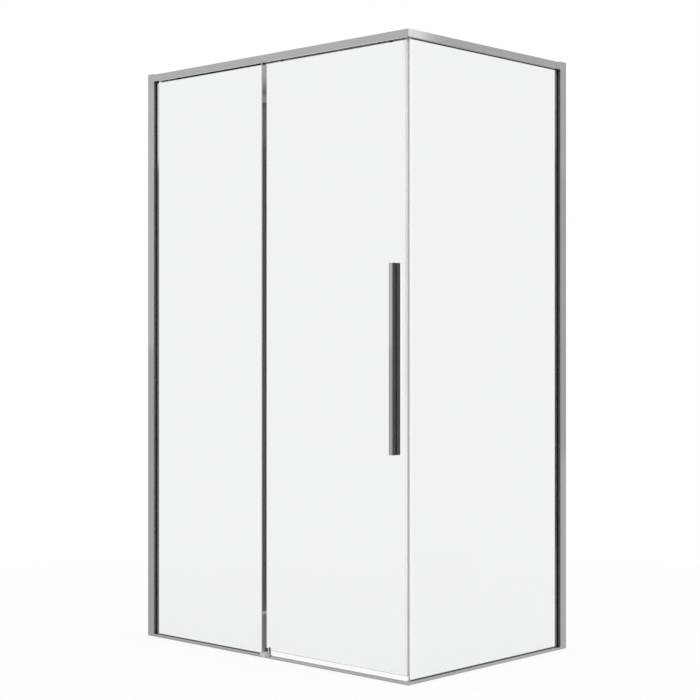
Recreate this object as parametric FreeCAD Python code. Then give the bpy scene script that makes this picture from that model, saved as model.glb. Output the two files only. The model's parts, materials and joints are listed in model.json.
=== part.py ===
"""Corner shower enclosure: a fixed pane and a sliding door along the front, a fixed pane along the side.

Millimetres. X runs along the front from the left wall to the free corner, Y from the front face into
the cabin, Z up from the tray. The origin is the middle of the footprint, at the foot.
"""
import FreeCAD, Part
import os

UP = FreeCAD.Vector(0, 0, 1)
DOWN = UP * -1

# ---- Overall size -------------------------------------------------------------------------------
WIDTH = 1200.0  # front, from the left wall to the free corner
DEPTH = 800.0  # side, from the free corner to the back wall
HEIGHT = 1950.0

# ---- Fits ---------------------------------------------------------------------------------------
FIT = 0.3  # gap between pieces that slide into each other
RUN = 0.05  # radial clearance of a wheel on its axle
PLUG = 0.1  # radial clearance of a screw or stud in its hole
EDGE = 0.5  # broken edge on the visible corners of the profiles

# ---- Glass and its rubber -----------------------------------------------------------------------
GLASS = 6.0
GLASS_SETBACK = 10.0  # outer face of the fixed panes behind the outer face of the frame
RUBBER = 2.0  # gasket between glass and metal
LIP = 1.2  # gasket showing above the bottom profile
TOP_LIP = 1.0  # gasket showing below the top rails
SHEET = 1.5  # wall of the profiles

# ---- Wall profiles ------------------------------------------------------------------------------
WALL_FACE = 31.0  # width seen from outside
FRAME_DEPTH = 25.0  # wall profile, bottom profile and side rail, from front to back
GLASS_IN_WALL = 13.0  # glass edge behind the mouth of the wall profile
MOUTH_LIP = 4.0  # gasket that fills the mouth in front of the glass
NEST = 9.0  # the adjusting profile starts this far from the wall
WALL_CAP = 2.5  # stands above the top rails
CAP_PLUG = 12.0
WALL_HOLE_RADIUS = 2.75
WALL_HOLES = 4
WALL_HOLE_END = 100.0  # end holes from the foot and from the top
CLIPS = 3  # screws that lock the adjusting profile
CLIP_END = 150.0
CLIP_FROM_WALL = 13.0

# ---- Top rails ----------------------------------------------------------------------------------
RAIL_HEIGHT = 24.0
RAIL_SHEET = 2.0
GLASS_IN_RAIL = 12.0
CORNER = 24.0  # seam on the side face, from the front face
END_CAP = 2.0
SPIGOT = 40.0  # length of each leg that plugs into a rail
BRACKET = 43.0  # length of each wall bracket inside its rail

# ---- Bottom profiles ----------------------------------------------------------------------------
FOOT_HEIGHT = 8.0
FOOT_SHEET = 2.0
THRESHOLD_HEIGHT = 5.0
GROOVE_HEIGHT = 2.5  # hollow under the threshold
GROOVE_EDGE = 5.0
FOOT_SPIGOT = 30.0

# ---- Overlap between the fixed pane and the door ------------------------------------------------
STILE_RIGHT = 573.0  # closing side of the stile, from the left wall
STILE_WIDTH = 4.2
STILE_FRONT = 1.5
STILE_GAP = 1.3  # stile to the face of the door glass
STILE_GROOVE = 2.4
NOTCH_GAP = 1.0  # below the hanger discs that pass the stile's top end
STILE_TONGUE = 4.5  # depth of the part of the stile that reaches the rail
PILE_INSET = 0.7  # pile behind each side of the stile
PILE_RISE = 3.5  # foot of the pile above the drip seal

# ---- Sliding door -------------------------------------------------------------------------------
DOOR_GAP = 7.0  # between the fixed pane and the door glass
OVERLAP = 18.0  # door glass behind the stile, door closed
DOOR_FOOT = 20.0
DOOR_IN_RAIL = 18.0
OPEN_MARGIN = 29.0  # between the wall profile and the door glass, door open

# ---- Hangers and rollers ------------------------------------------------------------------------
HANGER_INSET = (90.0, 56.0)  # from the trailing and the closing edge of the glass
HANGER_LENGTH = 60.0
HANGER_PLATE = 2.0
HANGER_FOOT = 1.0  # plate above the underside of the rail
CLAMP_HEIGHT = 8.5  # clamp centre above the underside of the rail
DISC_RADIUS = 12.0
DISC = 2.5
BOSS_RADIUS = 3.9
BOLT_RADIUS = 2.5
BOLT_HEAD_RADIUS = 4.5
BOLT_HEAD = 2.5
GLASS_HOLE_RADIUS = 5.0
ROLLER_RADIUS = 8.0
ROLLER_WIDTH = 5.2
ROLLER_SPACING = 40.0
BEARING_RADIUS = 5.0
BEARING_WIDTH = 4.0
TYRE_FIT = 0.02
AXLE_RADIUS = 2.0
COLLAR_RADIUS = 3.0
COLLAR = 0.5
AXLE_PLAY = 0.2
AXLE_HEAD = 0.6
TRACK_SIDE_GAP = 0.5
STOP_LENGTH = 20.0
STOP_HEIGHT = 15.0

# ---- Seals --------------------------------------------------------------------------------------
SKIN = 0.8  # wall of the clear seals
DRIP_GRIP = 6.5  # drip seal up the glass
LIP_GAP = 1.4  # lip above the floor of the guide fork
EDGE_GRIP = 12.0  # upright seals along the glass
EDGE_NOSE = 10.0  # magnet nose in front of the door's edge
NOSE_HALF = 4.5
MAGNET_DEPTH = 4.0
MAGNET_WIDTH = 7.0
SIDE_LIP = 4.0  # side seal in front of the side glass
SIDE_NOSE = 4.9  # magnet foot of the side seal, towards the door
TRAIL_GRIP = 6.0
TRAIL_FIN = 4.0
SEAL_GAP = 0.5  # side seal above the bottom gasket

# ---- Handle -------------------------------------------------------------------------------------
HANDLE_INSET = 38.6  # from the closing edge of the glass
HANDLE_WIDTH = 14.4
HANDLE_BAR = 15.0
HANDLE_PAD = 0.5
HANDLE_FOOT = 678.0
HANDLE_LENGTH = 578.0
STUD_SPACING = 440.0
STUD_RADIUS = 3.0
STUD_BITE = 9.0

# ---- Bottom guide -------------------------------------------------------------------------------
GUIDE_BEFORE = 9.0  # from the stile towards the wall
GUIDE_AFTER = 13.0  # from the stile towards the corner
GUIDE_HEIGHT = 16.0
GUIDE_BACK = 22.0
GUIDE_CHEEK = 6.0
FORK_BITE = 8.0  # fork up the door glass
FORK_FLOOR = 3.2
FORK_FINGER = 3.2
FORK_PLAY = 0.4
GUIDE_SCREW_LENGTH = 10.0
GUIDE_SCREW_DROP = 4.0  # below the top of the guide block

# ---- Screws -------------------------------------------------------------------------------------
SCREW_RADIUS = 2.0
SCREW_HEAD_RADIUS = 3.6
SCREW_HEAD = 2.0
SCREW_LENGTH = 7.5
COVER_RADIUS = 6.0
COVER_HEIGHT = 3.5
COVER_WALL = 1.0

# ---- Places that follow from the sizes ----------------------------------------------------------
def spread(count, end):
    """Evenly spaced heights, the first and last the same distance from foot and top."""
    return [end + (HEIGHT - 2 * end) * step / (count - 1) for step in range(count)]


WALL_HOLE_HEIGHTS = spread(WALL_HOLES, WALL_HOLE_END)
CLIP_HEIGHTS = spread(CLIPS, CLIP_END)
GLASS_BACK = GLASS_SETBACK + GLASS
CHANNEL = (GLASS_SETBACK - RUBBER, GLASS_BACK + RUBBER)
PANE = (GLASS_SETBACK, GLASS_BACK)
WALL_TOP = HEIGHT - WALL_CAP
GLASS_EDGE = WALL_FACE - GLASS_IN_WALL
RAIL_FOOT = WALL_TOP - RAIL_HEIGHT
RAIL_ROOF = WALL_TOP - RAIL_SHEET
GLASS_TOP = RAIL_FOOT + GLASS_IN_RAIL
SLOT_TOP = GLASS_TOP + RUBBER
GLASS_FOOT = FOOT_SHEET + RUBBER
DOOR = (GLASS_BACK + DOOR_GAP, GLASS_BACK + DOOR_GAP + GLASS)
DOOR_TOP = RAIL_FOOT + DOOR_IN_RAIL
CLAMP_Z = RAIL_FOOT + CLAMP_HEIGHT
LEDGE_TOP = RAIL_FOOT + RAIL_SHEET
AXLE_Z = LEDGE_TOP + FIT + ROLLER_RADIUS
PLATE = (DOOR[1], DOOR[1] + HANGER_PLATE)
ROLLER = (PLATE[1] + COLLAR, PLATE[1] + COLLAR + ROLLER_WIDTH)
AXLE_END = ROLLER[1] + AXLE_PLAY + AXLE_HEAD
TRACK_BACK = AXLE_END + TRACK_SIDE_GAP
RAIL_DEPTH = TRACK_BACK + RAIL_SHEET
WEB = (CHANNEL[1], CHANNEL[1] + SHEET)
SIDE_RAIL_START = CORNER + FIT
CORNER_INNER = WIDTH - FRAME_DEPTH
SHELF = (SLOT_TOP + SHEET, RAIL_ROOF)  # hollow above the glass slot
SPIGOT_Z = (SHELF[0] + FIT, SHELF[1] - FIT)
SIDE_GLASS_START = CHANNEL[1] + RUBBER
GLASS_FREE_EDGE = STILE_RIGHT - STILE_WIDTH + STILE_GROOVE - FIT
GUIDE = (STILE_RIGHT - GUIDE_BEFORE, STILE_RIGHT + GUIDE_AFTER)
NOSE_FACE = WIDTH - GLASS_BACK - SKIN - SIDE_NOSE - FIT
DOOR_LEFT = STILE_RIGHT - OVERLAP
DOOR_RIGHT = NOSE_FACE - EDGE_NOSE
DOOR_TRAVEL = DOOR_LEFT - WALL_FACE - OPEN_MARGIN
HANGERS = (DOOR_LEFT + HANGER_INSET[0], DOOR_RIGHT - HANGER_INSET[1])
NOTCH_FOOT = CLAMP_Z - DISC_RADIUS - NOTCH_GAP
DRIP_OUTER = (DOOR[0] - SKIN, DOOR[1] + SKIN)
DOOR_MIDDLE = (DOOR[0] + DOOR[1]) / 2
NOSE = (DOOR_MIDDLE - NOSE_HALF, DOOR_MIDDLE + NOSE_HALF)
HANDLE = (DOOR_RIGHT - HANDLE_INSET - HANDLE_WIDTH, DOOR_RIGHT - HANDLE_INSET)
HANDLE_MIDDLE = sum(HANDLE) / 2
STUD_HEIGHTS = [HANDLE_FOOT + (HANDLE_LENGTH + side * STUD_SPACING) / 2 for side in (-1, 1)]
FORK_SLOT = (DRIP_OUTER[0] - FORK_PLAY, DRIP_OUTER[1] + FORK_PLAY)
FORK = (FORK_SLOT[0] - FORK_FINGER, FORK_SLOT[1] + FORK_FINGER)
FORK_LOW = THRESHOLD_HEIGHT + FORK_FLOOR
SEAL_FOOT = FOOT_HEIGHT + LIP + SEAL_GAP
SEAL_TOP = RAIL_FOOT - TOP_LIP - FIT


def prism(ring, sweep):
    """Solid swept along a vector from a closed ring of points."""
    return Part.Face(Part.makePolygon(ring + ring[:1])).extrude(sweep)


def block(a, b, cut=0.0):
    """Rectangular outline between the pairs a and b, its corners cut by the given amount."""
    if cut == 0.0:
        return [(a[0], b[0]), (a[1], b[0]), (a[1], b[1]), (a[0], b[1])]
    return [
        (a[0] + cut, b[0]), (a[1] - cut, b[0]), (a[1], b[0] + cut), (a[1], b[1] - cut),
        (a[1] - cut, b[1]), (a[0] + cut, b[1]), (a[0], b[1] - cut), (a[0], b[0] + cut),
    ]


class Face:
    """One upright face of the enclosure: u runs along it, d runs into the cabin and z is up."""

    def __init__(self, x, y, along, inward):
        self.start = FreeCAD.Vector(x, y, 0)
        self.along = FreeCAD.Vector(*along)
        self.inward = FreeCAD.Vector(*inward)

    def at(self, u, d, z):
        return self.start + self.along * u + self.inward * d + UP * z

    def upright(self, outline, z):
        """Post with an outline in u and d."""
        return prism([self.at(u, d, z[0]) for u, d in outline], UP * (z[1] - z[0]))

    def level(self, outline, u):
        """Rail with an outline in d and z."""
        return prism([self.at(u[0], d, z) for d, z in outline], self.along * (u[1] - u[0]))

    def box(self, u, d, z):
        return self.upright(block(u, d), z)

    def rod(self, radius, u, d, z):
        """Round bar along whichever of u, d and z is a pair."""
        pairs = [isinstance(place, tuple) for place in (u, d, z)]
        low = [place[0] if pair else place for place, pair in zip((u, d, z), pairs)]
        way = (self.along, self.inward, UP)[pairs.index(True)]
        span = (u, d, z)[pairs.index(True)]
        return Part.makeCylinder(radius, span[1] - span[0], self.at(*low), way)


FRONT = Face(-WIDTH / 2, -DEPTH / 2, (1, 0, 0), (0, 1, 0))  # u from the left wall
SIDE = Face(WIDTH / 2, -DEPTH / 2, (0, 1, 0), (-1, 0, 0))  # u from the free corner
SIDE_WALL = Face(WIDTH / 2, DEPTH / 2, (0, -1, 0), (-1, 0, 0))  # u from the back wall


# ---- Wall profiles ------------------------------------------------------------------------------
def wall_profile(face):
    """Channel that is screwed to the wall, its mouth towards the glass."""
    inner = FRAME_DEPTH - SHEET
    outline = [
        (0, 0), (WALL_FACE - EDGE, 0), (WALL_FACE, EDGE), (WALL_FACE, SHEET), (SHEET, SHEET),
        (SHEET, inner), (WALL_FACE, inner), (WALL_FACE, FRAME_DEPTH - EDGE),
        (WALL_FACE - EDGE, FRAME_DEPTH), (0, FRAME_DEPTH),
    ]
    body = face.upright(outline, (0, WALL_TOP))
    middle = FRAME_DEPTH / 2
    wall_holes = [face.rod(WALL_HOLE_RADIUS, (-1, SHEET + 1), middle, z) for z in WALL_HOLE_HEIGHTS]
    return body.cut(wall_holes + clip_holes(face))


def clip_holes(face):
    """Holes for the screws that lock the adjusting profile, drilled from the cabin."""
    through = (CHANNEL[1] + SHEET + FIT, FRAME_DEPTH + 1)
    return [face.rod(SCREW_RADIUS + PLUG, CLIP_FROM_WALL, through, z) for z in CLIP_HEIGHTS]


def adjusting_profile(face):
    """Hollow profile that slides in the wall profile and holds the glass."""
    u = (NEST, WALL_FACE - FIT)
    d = (SHEET + FIT, FRAME_DEPTH - SHEET - FIT)
    seat = GLASS_EDGE - RUBBER
    hollow_d = (d[0] + SHEET, d[1] - SHEET)
    hollow_u = (u[0] + SHEET, u[1] - SHEET)
    mouth = WALL_FACE - MOUTH_LIP
    body = face.upright(block(u, d), (0, WALL_TOP))
    return body.cut([
        face.box((seat, u[1] + 1), CHANNEL, (-1, HEIGHT)),
        face.box((mouth, u[1] + 1), (0, CHANNEL[1]), (-1, HEIGHT)),
        face.box((hollow_u[0], seat - SHEET), hollow_d, (-1, HEIGHT)),
        face.box((hollow_u[0], mouth - SHEET), (hollow_d[0], CHANNEL[0] - SHEET), (-1, HEIGHT)),
        face.box(hollow_u, (CHANNEL[1] + SHEET, hollow_d[1]), (-1, HEIGHT)),
    ] + clip_holes(face))


def wall_cap(face):
    """Cover on the top end, with a plug behind the adjusting profile."""
    plug_u = (SHEET + FIT, NEST - FIT)
    plug_d = (SHEET + FIT, FRAME_DEPTH - SHEET - FIT)
    plate = face.upright(block((0, WALL_FACE), (0, FRAME_DEPTH), EDGE), (WALL_TOP, HEIGHT))
    return plate.fuse(face.box(plug_u, plug_d, (WALL_TOP - CAP_PLUG, WALL_TOP)))


def wall_gasket(face):
    """Rubber round the edge of the glass, with a lip that closes the mouth in front of the pane."""
    z = (GLASS_FOOT, GLASS_TOP)
    body = face.box((GLASS_EDGE - RUBBER, WALL_FACE), CHANNEL, z)
    body = body.fuse(face.box((WALL_FACE - MOUTH_LIP, WALL_FACE), (SHEET + FIT, CHANNEL[0]), z))
    return body.removeSplitter().cut(face.box((GLASS_EDGE, WALL_FACE + 1), PANE, (0, HEIGHT)))


def clip_screws(face):
    screws = []
    for z in CLIP_HEIGHTS:
        head = face.rod(SCREW_HEAD_RADIUS, CLIP_FROM_WALL, (FRAME_DEPTH, FRAME_DEPTH + SCREW_HEAD), z)
        shank = face.rod(SCREW_RADIUS, CLIP_FROM_WALL, (CHANNEL[1] + SHEET + 1, FRAME_DEPTH), z)
        screws.append(head.fuse(shank))
    return screws


def clip_covers(face):
    covers = []
    top = FRAME_DEPTH + COVER_HEIGHT
    for z in CLIP_HEIGHTS:
        body = face.rod(COVER_RADIUS, CLIP_FROM_WALL, (FRAME_DEPTH, top), z)
        room = face.rod(COVER_RADIUS - COVER_WALL, CLIP_FROM_WALL, (FRAME_DEPTH - 1, top - COVER_WALL), z)
        covers.append(body.cut(room))
    return covers


# ---- Top rails ----------------------------------------------------------------------------------
def glass_slot(face, u):
    return face.box(u, CHANNEL, (RAIL_FOOT - 1, SLOT_TOP))


def rail_screw_places():
    """Each countersunk screw on top of the rails: its face and its place along it."""
    middle = sum(CHANNEL) / 2
    return [
        (FRONT, WALL_FACE + BRACKET * 2 / 3, middle),
        (FRONT, CORNER_INNER - SPIGOT / 2, middle),
        (SIDE, SIDE_RAIL_START + SPIGOT / 2, middle),
        (SIDE_WALL, WALL_FACE + BRACKET * 2 / 3, middle),
    ]


def countersunk(face, u, d, clearance, length):
    """Screw body, or with a clearance its hole, from the top of a rail downwards."""
    head = Part.makeCone(SCREW_HEAD_RADIUS + clearance, SCREW_RADIUS + clearance, SCREW_HEAD,
                         face.at(u, d, WALL_TOP), DOWN)
    shank = (WALL_TOP - length, WALL_TOP - SCREW_HEAD)
    return head.fuse(face.rod(SCREW_RADIUS + clearance, u, d, shank))


def rail_screw_holes():
    return [countersunk(*place, PLUG, SCREW_LENGTH + FIT) for place in rail_screw_places()]


def front_top_rail():
    """Rail with the slot of the fixed pane, and behind it the track of the door."""
    u = (WALL_FACE, WIDTH - END_CAP)
    body = FRONT.level(block((0, RAIL_DEPTH), (RAIL_FOOT, WALL_TOP), EDGE), u)
    everywhere = (u[0] - 1, u[1] + 1)
    track = (WEB[1], PLATE[1] + FIT)
    return body.cut([
        glass_slot(FRONT, everywhere),
        FRONT.box(everywhere, (RAIL_SHEET, CHANNEL[0] - SHEET), (LEDGE_TOP, RAIL_ROOF)),
        FRONT.box(everywhere, (RAIL_SHEET, CHANNEL[1]), SHELF),
        FRONT.box(everywhere, (WEB[1], TRACK_BACK), (LEDGE_TOP, RAIL_ROOF)),
        FRONT.box(everywhere, track, (RAIL_FOOT - 1, LEDGE_TOP + 1)),
        FRONT.box((CORNER_INNER, WIDTH), (RAIL_SHEET, RAIL_DEPTH + 1), (RAIL_FOOT - 1, RAIL_ROOF)),
        FRONT.box((CORNER_INNER, WIDTH), (CORNER, RAIL_DEPTH + 1), (RAIL_ROOF - 1, HEIGHT + 1)),
    ] + rail_screw_holes())


def side_top_rail():
    u = (SIDE_RAIL_START, DEPTH - WALL_FACE)
    body = SIDE.level(block((0, FRAME_DEPTH), (RAIL_FOOT, WALL_TOP), EDGE), u)
    everywhere = (u[0] - 1, u[1] + 1)
    inner = FRAME_DEPTH - RAIL_SHEET
    return body.cut([
        glass_slot(SIDE, everywhere),
        SIDE.box(everywhere, (RAIL_SHEET, CHANNEL[0] - SHEET), (LEDGE_TOP, RAIL_ROOF)),
        SIDE.box(everywhere, (WEB[1], inner), (LEDGE_TOP, RAIL_ROOF)),
        SIDE.box(everywhere, (RAIL_SHEET, inner), SHELF),
    ] + rail_screw_holes())


def rail_bracket(face):
    """Bar that joins a rail to its wall profile, above the glass."""
    u = (GLASS_EDGE - RUBBER + FIT, WALL_FACE + BRACKET)
    d = (CHANNEL[0] + FIT, CHANNEL[1] - FIT)
    return face.box(u, d, SPIGOT_Z).cut(rail_screw_holes())


def rail_corner_connector():
    """Block that fills the corner, with a leg into each rail."""
    legs_d = (RAIL_SHEET + FIT, CHANNEL[1] - FIT)
    body = FRONT.box((CORNER_INNER, WIDTH - END_CAP), (RAIL_SHEET, CORNER), (RAIL_FOOT, RAIL_ROOF))
    body = body.fuse([
        FRONT.box((CORNER_INNER - SPIGOT, CORNER_INNER), legs_d, SPIGOT_Z),
        SIDE.box((CORNER, CORNER + SPIGOT), legs_d, SPIGOT_Z),
    ])
    side_pane = (GLASS_SETBACK - FIT, GLASS_BACK + FIT)
    pane_room = SIDE.box((SIDE_GLASS_START - FIT, CORNER + 1), side_pane, (RAIL_FOOT - 1, GLASS_TOP + FIT))
    return body.removeSplitter().cut([pane_room] + rail_screw_holes())


def rail_end_cap():
    outline = block((0, CORNER), (RAIL_FOOT, WALL_TOP), EDGE)
    return FRONT.level(outline, (WIDTH - END_CAP, WIDTH))


def top_gasket(face, u):
    """Rubber over the top edge of a fixed pane, with a lip along each side of the glass."""
    foot = RAIL_FOOT - TOP_LIP
    outline = [
        (CHANNEL[0], SLOT_TOP), (CHANNEL[1], SLOT_TOP), (CHANNEL[1], foot + RUBBER / 2), (GLASS_BACK, foot),
        (GLASS_BACK, GLASS_TOP), (GLASS_SETBACK, GLASS_TOP), (GLASS_SETBACK, foot),
        (CHANNEL[0], foot + RUBBER / 2),
    ]
    return face.level(outline, u)


# ---- Bottom profiles ----------------------------------------------------------------------------
def bottom_profile(face, u):
    """Low hollow profile with the glass channel open at the top."""
    everywhere = (u[0] - 1, u[1] + 1)
    hollow_z = (SHEET, FOOT_HEIGHT - SHEET)
    body = face.level(block((0, FRAME_DEPTH), (0, FOOT_HEIGHT), EDGE), u)
    return body.cut([
        face.box(everywhere, CHANNEL, (FOOT_SHEET, HEIGHT)),
        face.box(everywhere, (SHEET, CHANNEL[0] - SHEET), hollow_z),
        face.box(everywhere, (CHANNEL[1] + SHEET, FRAME_DEPTH - SHEET), hollow_z),
    ])


def bottom_gasket(face, u):
    """Rubber under the bottom edge of a fixed pane, with a lip along each side of the glass."""
    top = FOOT_HEIGHT + LIP
    outline = [
        (CHANNEL[0], FOOT_SHEET), (CHANNEL[1], FOOT_SHEET), (CHANNEL[1], top - RUBBER / 2),
        (GLASS_BACK, top), (GLASS_BACK, GLASS_FOOT), (GLASS_SETBACK, GLASS_FOOT), (GLASS_SETBACK, top),
        (CHANNEL[0], top - RUBBER / 2),
    ]
    return face.level(outline, u)


def door_threshold():
    """Flat bar under the door, hollow below for its bed of sealant."""
    u = (GUIDE[1], CORNER_INNER)
    body = FRONT.level(block((0, FRAME_DEPTH), (0, THRESHOLD_HEIGHT), EDGE), u)
    groove = (GROOVE_EDGE, FRAME_DEPTH - GROOVE_EDGE)
    return body.cut(FRONT.box((u[0] - 1, u[1] + 1), groove, (-1, GROOVE_HEIGHT)))


def bottom_corner_connector():
    body = FRONT.level(block((0, CORNER), (0, FOOT_HEIGHT), EDGE), (CORNER_INNER, WIDTH))
    groove = (GROOVE_EDGE + FIT, FRAME_DEPTH - GROOVE_EDGE - FIT)
    side_hollow = (SHEET + FIT, CHANNEL[0] - SHEET - FIT)
    body = body.fuse([
        FRONT.box((CORNER_INNER - FOOT_SPIGOT, CORNER_INNER), groove, (0, GROOVE_HEIGHT - FIT)),
        SIDE.box((CORNER, CORNER + FOOT_SPIGOT), side_hollow, (SHEET + FIT, FOOT_HEIGHT - SHEET - FIT)),
    ])
    side_pane = (GLASS_SETBACK - FIT, GLASS_BACK + FIT)
    pane_room = SIDE.box((SIDE_GLASS_START - FIT, CORNER + 1), side_pane, (GLASS_FOOT - FIT, HEIGHT))
    return body.cut(pane_room)


# ---- Fixed panes and what is on them ------------------------------------------------------------
def fixed_glass():
    return FRONT.box((GLASS_EDGE, GLASS_FREE_EDGE), PANE, (GLASS_FOOT, GLASS_TOP))


def side_glass():
    return SIDE.box((SIDE_GLASS_START, DEPTH - GLASS_EDGE), PANE, (GLASS_FOOT, GLASS_TOP))


def overlap_stile():
    """Slim upright on the free edge of the fixed pane, its top notched for the hanger discs."""
    left = STILE_RIGHT - STILE_WIDTH
    d = (STILE_FRONT, DOOR[0] - STILE_GAP)
    body = FRONT.upright(block((left, STILE_RIGHT), d, EDGE), (GUIDE_HEIGHT + FIT, RAIL_FOOT))
    groove = FRONT.box((left - 1, left + STILE_GROOVE), (PANE[0] - PLUG, PANE[1] + PLUG), (0, HEIGHT))
    notch = FRONT.box((left - 1, WIDTH), (STILE_FRONT + STILE_TONGUE, RAIL_DEPTH), (NOTCH_FOOT, HEIGHT))
    return body.cut([groove, notch])


def stile_seal():
    """Pile strip on the back of the stile, brushing the door glass."""
    u = (STILE_RIGHT - STILE_WIDTH + PILE_INSET, STILE_RIGHT - PILE_INSET)
    d = (DOOR[0] - STILE_GAP, DOOR[0] - FIT)
    return FRONT.box(u, d, (DOOR_FOOT + DRIP_GRIP + PILE_RISE, NOTCH_FOOT))


def side_foot():
    """Inner foot of the side seal that faces the door, as its pairs in u and d of the side face."""
    u = (SIDE_GLASS_START, SIDE_GLASS_START + EDGE_GRIP)
    return u, (GLASS_BACK + SKIN, GLASS_BACK + SKIN + SIDE_NOSE)


def side_magnet_room(spare):
    """Pocket of the side magnet, or the magnet itself when nothing is spared round it."""
    foot_u, foot_d = side_foot()
    middle = sum(foot_u) / 2
    u = (middle - MAGNET_WIDTH / 2 - spare, middle + MAGNET_WIDTH / 2 + spare)
    d = (foot_d[0] + SKIN - spare, foot_d[1] - SKIN + spare)
    return SIDE.box(u, d, (SEAL_FOOT, SEAL_TOP))


def side_edge_seal():
    """Clear profile round the free edge of the side pane."""
    z = (SEAL_FOOT, SEAL_TOP)
    foot_u, foot_d = side_foot()
    grip = (SIDE_GLASS_START - SIDE_LIP, SIDE_GLASS_START + EDGE_GRIP)
    body = SIDE.upright(block(grip, (GLASS_SETBACK - SKIN, GLASS_BACK + SKIN)), z)
    body = body.fuse(SIDE.box(foot_u, foot_d, z)).removeSplitter()
    return body.cut([SIDE.box((SIDE_GLASS_START, DEPTH), PANE, (0, HEIGHT)), side_magnet_room(PLUG)])


# ---- Bottom guide -------------------------------------------------------------------------------
def guide_room():
    """Pocket for the fork in the guide block."""
    u = (STILE_RIGHT + FIT, GUIDE[1] - GUIDE_CHEEK + PLUG)
    return FRONT.box(u, (FORK[0] - PLUG, FORK[1] + 1), (THRESHOLD_HEIGHT, HEIGHT))


def guide_base():
    """Block at the free corner of the fixed pane that carries the fork of the door."""
    body = FRONT.level(block((0, GUIDE_BACK), (0, GUIDE_HEIGHT), EDGE), GUIDE)
    body = body.fuse(FRONT.box(GUIDE, (GUIDE_BACK - 1, FORK[1]), (0, THRESHOLD_HEIGHT))).removeSplitter()
    pane_room = (PANE[0] - FIT, PANE[1] + FIT)
    return body.cut([
        FRONT.box((0, GLASS_FREE_EDGE + FIT), pane_room, (GLASS_FOOT - FIT, HEIGHT)),
        guide_room(),
        guide_screw_body(PLUG),
    ])


def guide_fork():
    """Fork that straddles the bottom edge of the door glass."""
    u = (STILE_RIGHT + 2 * FIT, GUIDE[1] - GUIDE_CHEEK)
    body = FRONT.box(u, FORK, (THRESHOLD_HEIGHT, DOOR_FOOT + FORK_BITE))
    return body.cut([
        FRONT.box((0, WIDTH), FORK_SLOT, (FORK_LOW, HEIGHT)),
        guide_screw_body(PLUG),
    ])


def guide_screw_body(clearance):
    """Screw along the front that pins the fork into the block."""
    d = FORK_SLOT[0] - FORK_FINGER / 2
    z = GUIDE_HEIGHT - GUIDE_SCREW_DROP
    shank = FRONT.rod(SCREW_RADIUS / 2 + clearance, (GUIDE[1] - GUIDE_SCREW_LENGTH, GUIDE[1]), d, z)
    if clearance:
        return shank
    return shank.fuse(FRONT.rod(SCREW_RADIUS, (GUIDE[1], GUIDE[1] + SCREW_HEAD), d, z))


# ---- Door pane and its seals --------------------------------------------------------------------
def door_glass():
    body = FRONT.box((DOOR_LEFT, DOOR_RIGHT), DOOR, (DOOR_FOOT, DOOR_TOP))
    span = (DOOR[0] - 1, DOOR[1] + 1)
    clamp_holes = [FRONT.rod(GLASS_HOLE_RADIUS, u, span, CLAMP_Z) for u in HANGERS]
    handle_holes = [FRONT.rod(GLASS_HOLE_RADIUS, HANDLE_MIDDLE, span, z) for z in STUD_HEIGHTS]
    return body.cut(clamp_holes + handle_holes)


def door_drip_seal():
    """Clear seal under the door with a lip towards the threshold."""
    foot = DOOR_FOOT - SKIN
    top = DOOR_FOOT + DRIP_GRIP
    outline = [
        (DRIP_OUTER[0], top), (DRIP_OUTER[0], foot), (DOOR_MIDDLE - SKIN / 2, foot),
        (DOOR_MIDDLE - SKIN / 2, FORK_LOW + LIP_GAP), (DOOR_MIDDLE + SKIN / 2, FORK_LOW + LIP_GAP),
        (DOOR_MIDDLE + SKIN / 2, foot), (DRIP_OUTER[1], foot), (DRIP_OUTER[1], top), (DOOR[1], top),
        (DOOR[1], DOOR_FOOT), (DOOR[0], DOOR_FOOT), (DOOR[0], top),
    ]
    return FRONT.level(outline, (DOOR_LEFT + TRAIL_GRIP + FIT, DOOR_RIGHT - EDGE_GRIP - FIT))


def door_magnet_room(spare):
    """Pocket of the door's magnet, or the magnet itself when nothing is spared round it."""
    u = (NOSE_FACE - SKIN - MAGNET_DEPTH - spare, NOSE_FACE - SKIN + spare)
    d = (DOOR_MIDDLE - MAGNET_WIDTH / 2 - spare, DOOR_MIDDLE + MAGNET_WIDTH / 2 + spare)
    return FRONT.box(u, d, (DOOR_FOOT - SKIN, RAIL_FOOT - FIT))


def door_edge_seal():
    """Clear profile on the closing edge of the door, with a magnet nose."""
    z = (DOOR_FOOT - SKIN, RAIL_FOOT - FIT)
    grip = FRONT.box((DOOR_RIGHT - EDGE_GRIP, DOOR_RIGHT + SKIN), DRIP_OUTER, z)
    body = grip.fuse(FRONT.box((DOOR_RIGHT, NOSE_FACE), NOSE, z)).removeSplitter()
    return body.cut([FRONT.box((0, DOOR_RIGHT), DOOR, (0, HEIGHT)), door_magnet_room(PLUG)])


def door_trailing_seal():
    """Clear profile on the trailing edge, with a fin towards the fixed pane."""
    z = (DOOR_FOOT - SKIN, SEAL_TOP)
    fin_u = (DOOR_LEFT - SKIN, DOOR_LEFT + TRAIL_FIN)
    outline = [
        (fin_u[0], DRIP_OUTER[1]), (fin_u[0], DRIP_OUTER[0]), (fin_u[0], GLASS_BACK + FIT),
        (fin_u[0] + SKIN, GLASS_BACK + FIT), (fin_u[1], DRIP_OUTER[0]),
        (DOOR_LEFT + TRAIL_GRIP, DRIP_OUTER[0]), (DOOR_LEFT + TRAIL_GRIP, DRIP_OUTER[1]),
    ]
    pane = FRONT.box((DOOR_LEFT, WIDTH), DOOR, (0, HEIGHT))
    return FRONT.upright(outline, z).cut(pane)


# ---- Hangers and rollers ------------------------------------------------------------------------
def axle_places(u):
    return [u + side * ROLLER_SPACING / 2 for side in (-1, 1)]


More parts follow.
